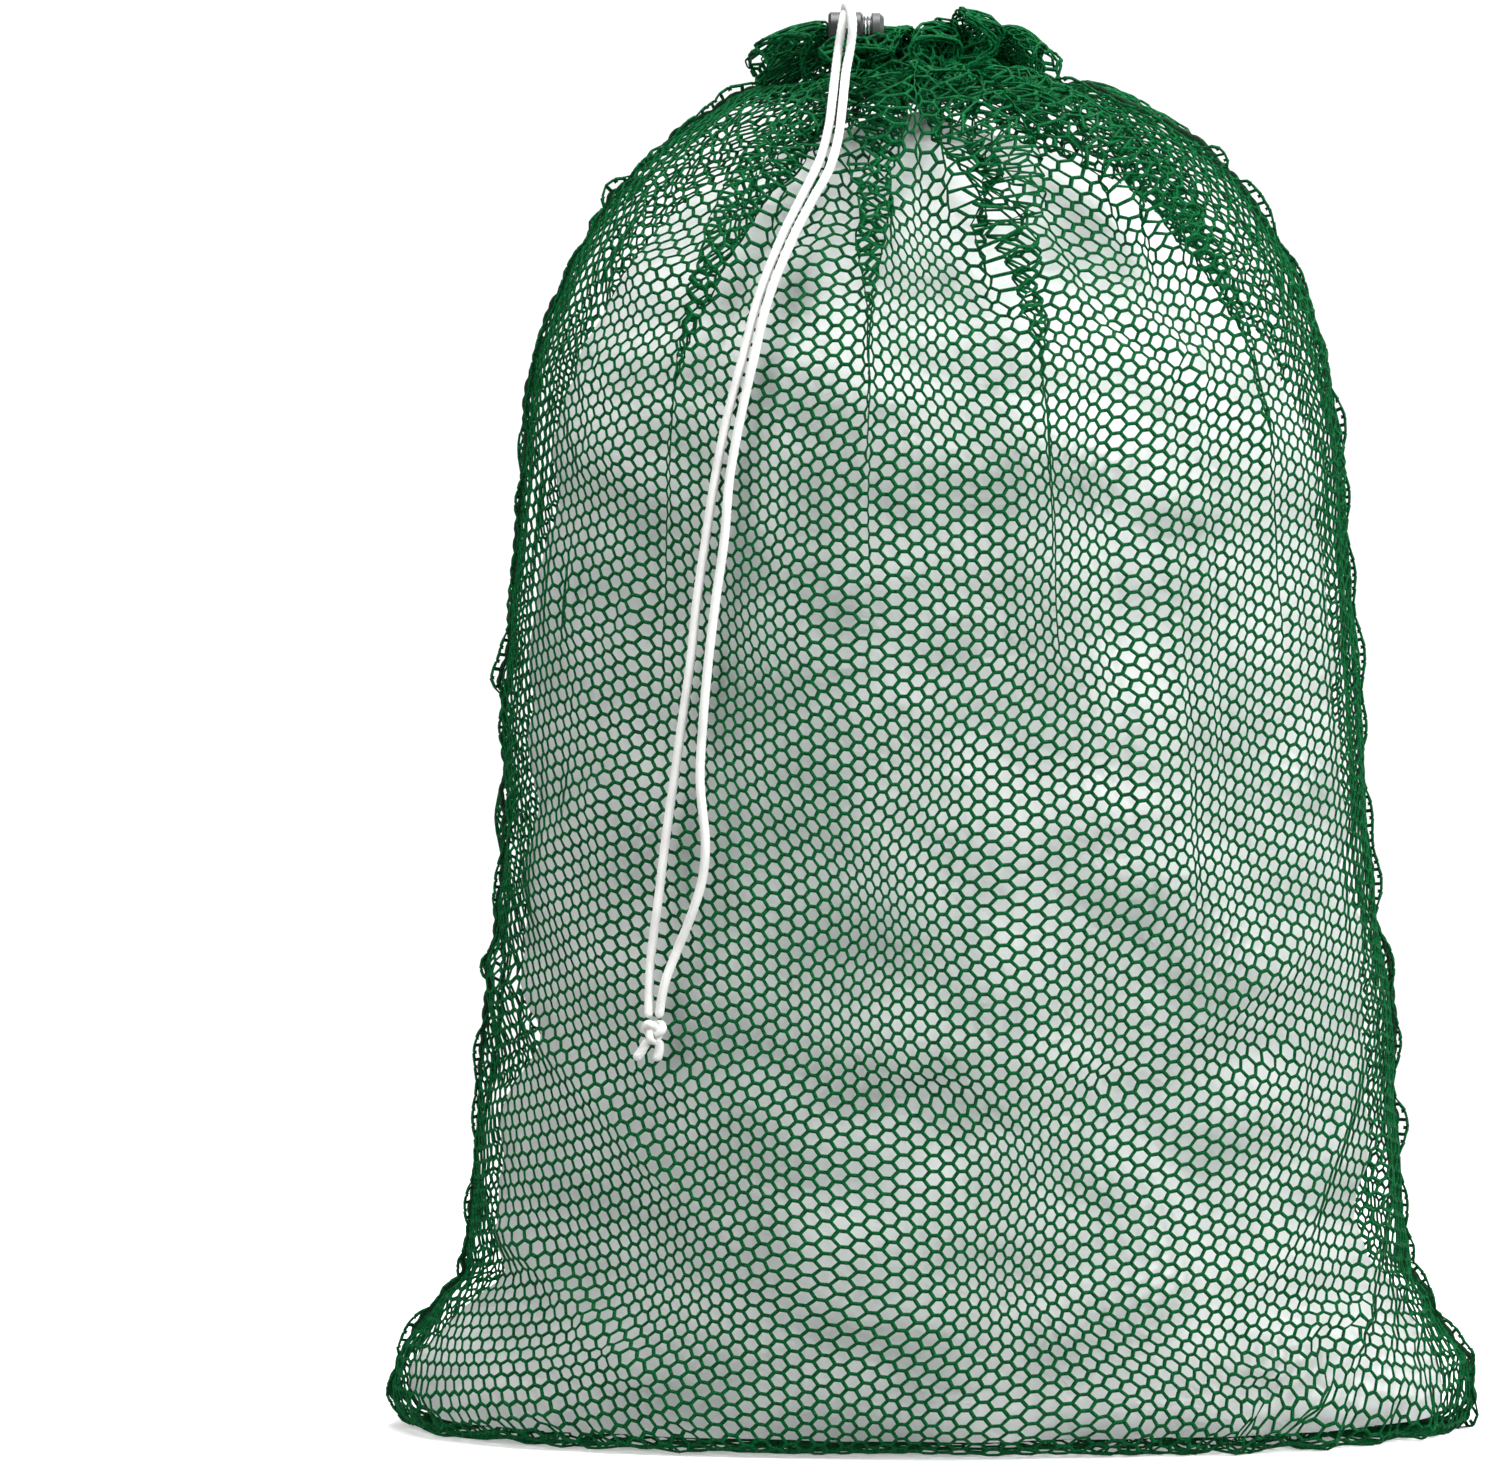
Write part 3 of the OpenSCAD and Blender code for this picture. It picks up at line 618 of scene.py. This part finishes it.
def laid(u, v):
    """Share of the way round, and height above the draped bag, of a point of the flat one."""
    u = np.mod(u, 2 * flat_width)
    # The knit is drawn out unevenly, so that its columns wander between the seams
    play = np.sin(math.pi * u / flat_width) ** 2 * eased(v / 0.1) * eased((casing_line - v) / 0.1)
    u = u + play * (0.0055 * np.sin(31 * u + 17 * v + 1) + 0.0045 * np.sin(23 * v - 41 * u + 2)
                    + 0.0020 * np.sin(75 * v + 40 * u))
    spare_here = np.interp(v, rows_up, taken)
    along = u.copy()
    lift = np.zeros(len(u))
    below_neck = 1 - 0.8 * eased((v - casing_line + 0.09) / 0.08)
    for middle, share, lean, height in pleats:
        size = spare_here * share / 2 + 1e-6
        q = (u - middle) / (3 * size) + 0.5
        folding = eased(size / 0.014)
        in_pleat = folding * np.interp(q, layer, onward) + (1 - folding) * np.clip(q, 0, 1)
        along -= 3 * size * np.clip(q, 0, 1) - size * in_pleat
        facing = q if lean > 0 else 1 - q
        rise = eased((facing + 0.45) / 0.6) * (1 - eased((facing - 0.2) / 0.7))
        lift += rise * np.minimum(height, 0.8 * size) * folding * below_neck
    for u0, v0, u1, v1, height, width in ridges:
        length = math.hypot(u1 - u0, v1 - v0)
        run = ((u - u0) * (u1 - u0) + (v - v0) * (v1 - v0)) / length ** 2
        off = ((u - u0) * (v1 - v0) - (v - v0) * (u1 - u0)) / length
        off += 0.1 * length * np.sin(math.pi * run)
        lift += height * np.exp(-(off / width) ** 2) * eased(run / 0.3) * eased((1 - run) / 0.3)
    return along / (2 * flat_width - spare_here), lift


def on_bag(u, v):
    """Place and the two stretched directions of the net at flat lengths u round and v up."""
    def place(u, v):
        share, lift = laid(u, v)
        spot, out = smooth_bag(share, v)
        return spot + lift[:, None] * out

    step = 0.0008
    along_u = (place(u + step, v) - place(u - step, v)) / (2 * step)
    along_v = (place(u, v + step) - place(u, v - step)) / (2 * step)
    return place(u, v), along_u, along_v


# The net's own sizes: hexagons with level bars, in columns that step by half a mesh
hem_row = 236
mesh_across, mesh_half = 0.0061, flat_length / hem_row
bar_length = 0.0036
yarn_half = 0.00090
yarn_depth = 0.00065
cord_lines = np.vstack([smooth_line(left_route, 0.002), smooth_line(right_route, 0.002)])


def kept_clear(place):
    """Moves the net off the floor, and in where it would cover the drawcord or run into it."""
    place[:, 2] = np.maximum(place[:, 2], yarn_depth + 0.0002)
    gap = cord_diameter / 2 + yarn_depth + 0.0006
    near = np.nonzero((place[:, 1] < -0.02) & (place[:, 0] < 0) & (place[:, 2] > 0.19))[0]
    for part in np.array_split(near, max(1, len(near) // 2000)):
        away = place[part][:, None] - cord_lines[None]
        # Down the front the cord is met level, and over the frill it is met from above
        level = np.hypot(away[..., 0], away[..., 2])
        best = level.argmin(1)
        side = abs(away[np.arange(len(part)), best, 0])
        behind = away[np.arange(len(part)), best, 1]
        fade = np.clip((0.0125 - side) / 0.005, 0, 1) * (level[np.arange(len(part)), best] < 0.013)
        falling = (cord_lines[best, 2] < 0.692) & (cord_lines[best, 1] < -0.055)
        place[part, 1] += np.where(falling, fade * np.maximum(0, gap - behind), 0)
        plan = np.hypot(away[..., 0], away[..., 1])
        best = plan.argmin(1)
        side = plan[np.arange(len(part)), best]
        above = away[np.arange(len(part)), best, 2]
        over_frill = (cord_lines[best, 1] > -0.057) & (abs(above) < 0.012)
        fade = np.clip((0.0125 - side) / 0.005, 0, 1)
        place[part, 2] -= np.where(over_frill, fade * np.maximum(0, gap + above), 0)
    return place


def net(name, surface, columns, rows, closed=False):
    """Closed four-sided yarns along every edge of the hexagons, meeting three at a time."""
    c, q = np.meshgrid(np.arange(columns[0], columns[1]), np.arange(rows[0], rows[1] + 1),
                       indexing="ij")
    keep = (c + q) % 2 == 0
    number = np.full(c.shape, -1)
    number[keep] = np.arange(keep.sum())
    count = keep.sum()
    middle, up = (c[keep] + 0.5) * mesh_across, q[keep] * mesh_half
    points = []
    for side in (-1, 1):
        place, along_u, along_v = surface(middle + side * bar_length / 2, up)
        size_u = np.linalg.norm(along_u, axis=1)[:, None]
        size_v = np.linalg.norm(along_v, axis=1)[:, None]
        out = np.cross(along_u, along_v)
        out /= np.linalg.norm(out, axis=1)[:, None] + 1e-9
        place = kept_clear(place)
        wide = along_u / size_u * np.clip(size_u, 0.5, 1.1)
        tall = along_v / size_v * np.clip(size_v, 0.5, 1.1)
        reach = yarn_half / math.sin(math.radians(60))
        corners = [place + out * yarn_depth, place - out * yarn_depth]
        for angle in (118, 0, -118):
            x, y = math.cos(math.radians(angle)) * side, math.sin(math.radians(angle))
            corners.append(place + reach * (x * wide + y * tall))
        points.append(np.stack(corners, 1))
    verts = np.concatenate(points).reshape(-1, 3)
    top, under, upper, beside, lower = range(5)
    quads = []

    def strand(a, a_left, a_right, b, b_left, b_right):
        """The four sides of the yarns from junctions a to junctions b."""
        for one, two, three, four in ((top, top, b_left, a_left), (a_right, b_right, top, top),
                                      (a_left, b_left, under, under),
                                      (under, under, b_right, a_right)):
            quads.append(np.stack([a * 5 + one, b * 5 + two, b * 5 + three, a * 5 + four], 1))

    left, right = number, np.where(number >= 0, number + count, -1)
    flat_left = left[keep]
    strand(flat_left, upper, lower, flat_left + count, upper, lower)
    for step, a_side, b_side in ((1, (upper, beside), (beside, lower)),
                                 (-1, (beside, lower), (upper, beside))):
        mate = np.full(c.shape, -1)
        after_last = left[:1] if closed else np.full((1, left.shape[1]), -1)
        source = np.vstack([left[1:], after_last])
        if step > 0:
            mate[:, :-1] = source[:, 1:]
        else:
            mate[:, 1:] = source[:, :-1]
        both = keep & (mate >= 0)
        strand(right[both], *a_side, mate[both], *b_side)
        loose = right[keep & (mate < 0)]
        quads.append(loose[:, None] * 5 + np.array([top, a_side[1], under, a_side[0]]))
        met = np.zeros(2 * count, bool)
        met[mate[both]] = True
        bare = flat_left[~met[:count]]
        quads.append(bare[:, None] * 5 + np.array([top, b_side[0], under, b_side[1]]))
    quads = np.concatenate(quads)
    data = bpy.data.meshes.new(name)
    data.vertices.add(len(verts))
    data.vertices.foreach_set("co", verts.ravel())
    data.loops.add(quads.size)
    data.loops.foreach_set("vertex_index", quads.ravel())
    data.polygons.add(len(quads))
    data.polygons.foreach_set("loop_start", np.arange(0, quads.size, 4))
    data.update(calc_edges=True)
    data.validate()
    data.shade_smooth()
    piece = bpy.data.objects.new(name, data)
    scene.collection.objects.link(piece)
    return piece


# Textured polyester yarn, dyed dark green, with the soft shine of its bundled filaments
green_net, tree, shader = new_material("knitted_polyester_net", {
    "Roughness": 0.55, "Specular IOR Level": 0.06})
place = add_node(tree, "ShaderNodeTexCoord")
shade = add_node(tree, "ShaderNodeTexNoise", {"Scale": 900.0, "Detail": 2.0},
                 {"Vector": place.outputs["Object"]})
two_tone(tree, shader, shade.outputs["Fac"], "#002A14", "#006432")
filaments = add_node(tree, "ShaderNodeTexNoise", {"Scale": 3200.0, "Detail": 1.0},
                     {"Vector": place.outputs["Object"]})
bump(tree, shader, filaments.outputs["Fac"], 0.00012)

panel_columns = 100
top_row = int(casing_line / mesh_half)
middle_row = hem_row // 2
for name, first, node in (("front", 0, "front_panel"), ("back", panel_columns, "back_panel")):
    for part, rows in (("lower", (0, middle_row)), ("upper", (middle_row, top_row))):
        piece = net(f"net_{name}_{part}", on_bag, (first, first + panel_columns), rows)
        piece.data.materials.append(green_net)
        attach(piece, "bag")
        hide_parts(node)


# ---------------------------------------------------------------- frill and hem
# The net above the casing, with its hem turned in and sewn down inside, so it is two layers.
# Below it are the casing, bunched up on the drawn cord, and the folds that close the mouth.
hem_gap = 0.0022
hem_offset = 0.0021


def resampled(line, step):
    """Evenly spaced points along a line of points in metres."""
    run = np.concatenate([[0], np.cumsum(np.linalg.norm(np.diff(line, axis=0), axis=1))])
    even = np.linspace(0, run[-1], max(3, int(run[-1] / step)))
    return np.stack([np.interp(even, run, line[:, k]) for k in range(3)], 1)


def turned_hem(u, v):
    """The hem's inner layer, a little inside the outer one and out of step with it."""
    back_down = np.minimum(casing_line + flat_length - v, flat_length - 0.001)
    place, along_u, along_v = on_bag(u + hem_offset, back_down)
    out = np.cross(along_u, -along_v)
    out /= np.linalg.norm(out, axis=1)[:, None] + 1e-9
    return place - hem_gap * out, along_u, -along_v


for name, surface in (("net_frill", on_bag), ("net_frill_hem", turned_hem)):
    piece = net(name, surface, (0, 2 * panel_columns), (top_row, hem_row), closed=True)
    piece.data.materials.append(green_net)
    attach(piece, "bag")
    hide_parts("neck_frill")

around = np.linspace(0, 2 * flat_width, 900)
rim, along_u, along_v = on_bag(around, np.full(900, flat_length - 0.002))
rim_yarn = braided_tube("net_frill_rim", resampled(rim, 0.0012), 0.0009, sides=6, strands=1,
                        relief=0.0002)
rim_yarn.data.materials.append(green_net)
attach(rim_yarn, "bag")
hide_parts("neck_frill")

# The casing that the cord runs in: the hem bunched up on the drawn cord into a thick ribbed ring
rib_count = 46
made = bmesh.new()
profile = bmesh.ops.create_circle(made, segments=14, radius=0.0046)["verts"]
bmesh.ops.rotate(made, verts=profile, cent=(0, 0, 0), matrix=Matrix.Rotation(math.pi / 2, 3, "X"))
bmesh.ops.translate(made, verts=profile, vec=(neck_radius, 0, casing_z))
bmesh.ops.spin(made, geom=made.verts[:] + made.edges[:], cent=(0, 0, 0), axis=(0, 0, 1),
               angle=2 * math.pi, steps=6 * rib_count, use_merge=True)
bmesh.ops.remove_doubles(made, verts=made.verts, dist=0.00001)
for vert in made.verts:
    turn = math.atan2(vert.co.y, vert.co.x)
    middle = Vector((neck_radius * math.cos(turn), neck_radius * math.sin(turn), casing_z))
    swell = 1 + 0.16 * abs(math.sin(rib_count * turn / 2 + 0.8 * math.sin(5 * turn)))
    vert.co = middle + (vert.co - middle) * swell
bmesh.ops.recalc_face_normals(made, faces=made.faces)
casing = finished_mesh("neck_casing_ring", made, green_net)

# The bunched folds inside the casing, which close the mouth of the bag
low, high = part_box("neck_gather")
rings = []
for z, share in ((low.z, 1.0), (high.z - 0.003, 1.0), (high.z - 0.001, 0.92), (high.z, 0.8),
                 (high.z - 0.0015, 0.55), (high.z - 0.004, 0.3), (high.z - 0.007, 0.08)):
    ring = []
    for turn in np.linspace(0, 2 * math.pi, 336, endpoint=False):
        fold = math.cos(28 * turn + 1.5 * math.sin(3 * turn) + 2 * share)
        reach = high.x * share * (0.88 + 0.12 * fold)
        ring.append((reach * math.cos(turn), reach * math.sin(turn), z + 0.0006 * fold))
    rings.append(ring)
bunch = finished_mesh("neck_bunch", lofted(rings), green_net)
for piece, nodes in ((casing, ("neck_casing", "casing_stitching")), (bunch, ("neck_gather",))):
    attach(piece, "bag")
    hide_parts(*nodes)


# ---------------------------------------------------------------- seams
# The panels are overlocked together: a ridge of looped thread along each side and the bottom,
# with a narrow allowance of doubled net standing out beyond it
# Spun polyester thread, dyed darker than the net, its loops slanting across the ridge, with painted
# shade in the grooves between the loops
green_thread, tree, shader = new_material("spun_polyester_thread", {
    "Roughness": 0.55, "Specular IOR Level": 0.15})
uv = add_node(tree, "ShaderNodeUVMap", uv_map="along")
loops = add_node(tree, "ShaderNodeTexWave", {"Scale": 14.0, "Distortion": 1.0},
                 {"Vector": uv.outputs["UV"]}, bands_direction="DIAGONAL")
# The darker tone falls in the grooves of the loops' relief: painted shade
two_tone(tree, shader, loops.outputs["Fac"], "#00260F", "#014A23")
bump(tree, shader, loops.outputs["Fac"], 0.0003)

allowance = 0.0105
above_floor = (-9, -9, 0.0022)


def seam_edge(u, v):
    """Place, outward normal and direction up the net along one column of the bag."""
    place, along_u, along_v = on_bag(np.full(len(v), u), v)
    out = np.cross(along_u, along_v)
    return place, out / (np.linalg.norm(out, axis=1)[:, None] + 1e-9), along_v


for side, at, nodes in (("left", 0.0, ("side_seam_left", "seam_stitching_left")),
                        ("right", flat_width, ("side_seam_right", "seam_stitching_right"))):
    v = np.linspace(0.004, casing_line, 420)
    place, out, along_v = seam_edge(at, v)
    line = resampled(np.maximum(place + 0.0008 * out, above_floor), 0.0012)
    ridge = braided_tube(f"seam_{side}_overlock", line, 0.0017,
                         sides=10, strands=1, relief=0.0005)
    ridge.data.materials.append(green_thread)

    def flap(u, v, at=at):
        """The allowance folded over beside the seam, leaning more or less on its way up."""
        place, out, along_v = seam_edge(at, v)
        reach = allowance * np.sin(u / 0.0046) * np.clip(v / 0.01, 0.3, 1)
        lean = 1.35 + 0.15 * np.sin(v * 35 + 2 * np.sin(v * 17)) + 0.15 * np.sin(v * 150)
        lean *= 1 if at == 0 else -1
        across = np.cross(along_v, out)
        across /= np.linalg.norm(across, axis=1)[:, None]
        return (place + out * (reach * np.cos(lean))[:, None]
                + across * (reach * np.sin(lean))[:, None], out, along_v)

    strip = net(f"seam_{side}_allowance", flap, (0, 2), (1, int(casing_line / mesh_half)))
    strip.data.materials.append(green_net)
    for piece, slot in ((ridge, "green_thread"), (strip, "green_net")):
        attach(piece, "bag")
        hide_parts(*nodes)

place, along_u, along_v = on_bag(np.linspace(0.001, flat_width - 0.001, 300), np.full(300, 0.002))
hem = braided_tube("bottom_seam_overlock", resampled(np.maximum(place, above_floor), 0.0012),
                   0.0016, sides=10, strands=1, relief=0.0004)
hem.data.materials.append(green_thread)
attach(hem, "bag")
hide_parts("bottom_seam")


# ---------------------------------------------------------------- lights and floor
# A pale floor, a white backdrop and soft studio light: a large source at the front right, and
# fill all round. None of it is part of the bag.
def area_light(name, place, target, size, power):
    """A square studio light, aimed at a target."""
    light = bpy.data.objects.new(name, bpy.data.lights.new(name, "AREA"))
    light.data.energy = power
    light.data.size = size
    light.location = place
    light.rotation_euler = (Vector(target) - Vector(place)).to_track_quat("-Z", "Y").to_euler()
    scene.collection.objects.link(light)


area_light("key", (2.3, -1.3, 1.8), (0, 0, 0.35), 1.2, 104)
area_light("fill", (-1.8, -2.4, 1.2), (0, 0, 0.35), 2.0, 42)
area_light("back", (0.3, 2.4, 2.2), (0, 0, 0.4), 2.0, 30)
area_light("top", (0.1, -0.3, 2.4), (0, 0, 0.4), 1.4, 62)
world = bpy.data.worlds.new("studio")
world.use_nodes = True
world.node_tree.nodes["Background"].inputs["Color"].default_value = hex_colour("#FBFCFC")
world.node_tree.nodes["Background"].inputs["Strength"].default_value = 0.46
scene.world = world

# Pale paper, faintly mottled
floor_paper, tree, shader = new_material("pale_floor", {"Roughness": 0.8})
place = add_node(tree, "ShaderNodeTexCoord")
fibre = add_node(tree, "ShaderNodeTexNoise", {"Scale": 3.0, "Detail": 3.0},
                 {"Vector": place.outputs["Object"]})
two_tone(tree, shader, fibre.outputs["Fac"], "#EFEFEE", "#F4F4F3")
shader.inputs["Emission Color"].default_value = (1, 1, 1, 1)
shader.inputs["Emission Strength"].default_value = 0.25
made = bmesh.new()
bmesh.ops.create_grid(made, x_segments=1, y_segments=1, size=1.5)
floor = finished_mesh("floor", made, floor_paper)

# A white backdrop lit evenly to plain white
backdrop_white, tree, shader = new_material("lit_white_backdrop", {
    "Base Color": (0, 0, 0, 1), "Emission Color": (1, 1, 1, 1), "Emission Strength": 1.05})
made = bmesh.new()
bmesh.ops.create_grid(made, x_segments=1, y_segments=1, size=14,
                      matrix=Matrix.Translation((0, 5.9, 0)) @ Matrix.Rotation(math.pi / 2, 4, "X"))
backdrop = finished_mesh("backdrop", made, backdrop_white)
backdrop.visible_diffuse = backdrop.visible_glossy = False
floor.visible_diffuse = False
